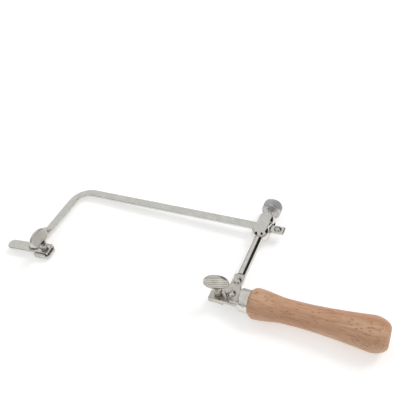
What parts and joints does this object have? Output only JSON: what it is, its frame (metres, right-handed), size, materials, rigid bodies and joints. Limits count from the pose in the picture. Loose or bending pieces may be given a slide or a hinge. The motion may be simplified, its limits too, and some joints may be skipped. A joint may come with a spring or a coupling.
{
  "type": "jeweler saw frame",
  "caption": "Adjustable jeweler's saw frame: bent flat bar sliding in a head on a round post, two thumb-screw blade clamps, knurled tension knob, turned beech handle.",
  "frame": {"origin": "On the blade line, where the blade leaves the front clamp block, in the plane where the jaws pinch the blade", "axes": "+X along the blade from the front clamp towards the handle, +Y from the blade line towards the back bar, +Z the side the thumb screws stand on"},
  "size_m": [0.2515, 0.0885, 0.0271],
  "materials": {
    "nickel_plate": "bright nickel plate over steel",
    "screw_steel": "nickel-plated screws",
    "thumb_screw_steel": "satin nickel on ribbed cast wings",
    "knob_steel": "satin, finely knurled",
    "brass_shoe": "plain",
    "beech": "satin lacquered beech"
  },
  "bodies": {
    "handle_frame": {"tension_head": "nickel_plate", "post": "nickel_plate", "rear_splice_plate": "nickel_plate", "rear_post_screw": "screw_steel", "rear_plate_screw": "screw_steel", "rear_jaw_plate": "nickel_plate", "ferrule": "nickel_plate", "handle": "beech", "ferrule_pin": "screw_steel"},
    "front_frame": {"frame_bar": "nickel_plate", "front_jaw_strip": "nickel_plate", "front_splice_plate": "nickel_plate", "front_leg_screw": "screw_steel", "front_strip_screw": "screw_steel", "bar_stop_screw": "screw_steel"},
    "front_clamp": {"front_clamp_block": "nickel_plate"},
    "front_thumb": {"front_thumb_screw": "thumb_screw_steel"},
    "rear_clamp": {"rear_clamp_block": "nickel_plate"},
    "rear_thumb": {"rear_thumb_screw": "thumb_screw_steel"},
    "shoe": {"pressure_shoe": "brass_shoe"},
    "knob": {"tension_knob": "knob_steel", "tension_stud": "screw_steel"}
  },
  "joints": [
    {"name": "bar_slide", "type": "slide", "parent": "handle_frame", "child": "front_frame", "axis": [1, 0, 0], "range_m": [0, 0.08]},
    {"name": "front_thumb_turn", "type": "hinge", "parent": "front_frame", "child": "front_thumb", "pos_m": [-0.005, 0, 0], "axis": [0, 0, 1], "range_deg": [0, 540]},
    {"name": "front_clamp_open", "type": "slide", "parent": "front_frame", "child": "front_clamp", "axis": [0, 0, -1], "range_m": [0, 0.00106]},
    {"name": "rear_thumb_turn", "type": "hinge", "parent": "handle_frame", "child": "rear_thumb", "pos_m": [0.1219, 0, 0], "axis": [0, 0, 1], "range_deg": [0, 540]},
    {"name": "rear_clamp_open", "type": "slide", "parent": "handle_frame", "child": "rear_clamp", "axis": [0, 0, -1], "range_m": [0, 0.00106]},
    {"name": "shoe_lift", "type": "slide", "parent": "handle_frame", "child": "shoe", "axis": [0, 1, 0], "range_m": [0, 0.00071]},
    {"name": "knob_turn", "type": "hinge", "parent": "shoe", "child": "knob", "pos_m": [0.13, 0.07, 0.0011], "axis": [0, 1, 0], "range_deg": [0, 360]}
  ],
  "couplings": [
    {"joint": "front_clamp_open", "follows": "front_thumb_turn", "m_per_rad": 0.00011141},
    {"joint": "rear_clamp_open", "follows": "rear_thumb_turn", "m_per_rad": 0.00011141},
    {"joint": "shoe_lift", "follows": "knob_turn", "m_per_rad": 0.00011141}
  ]
}
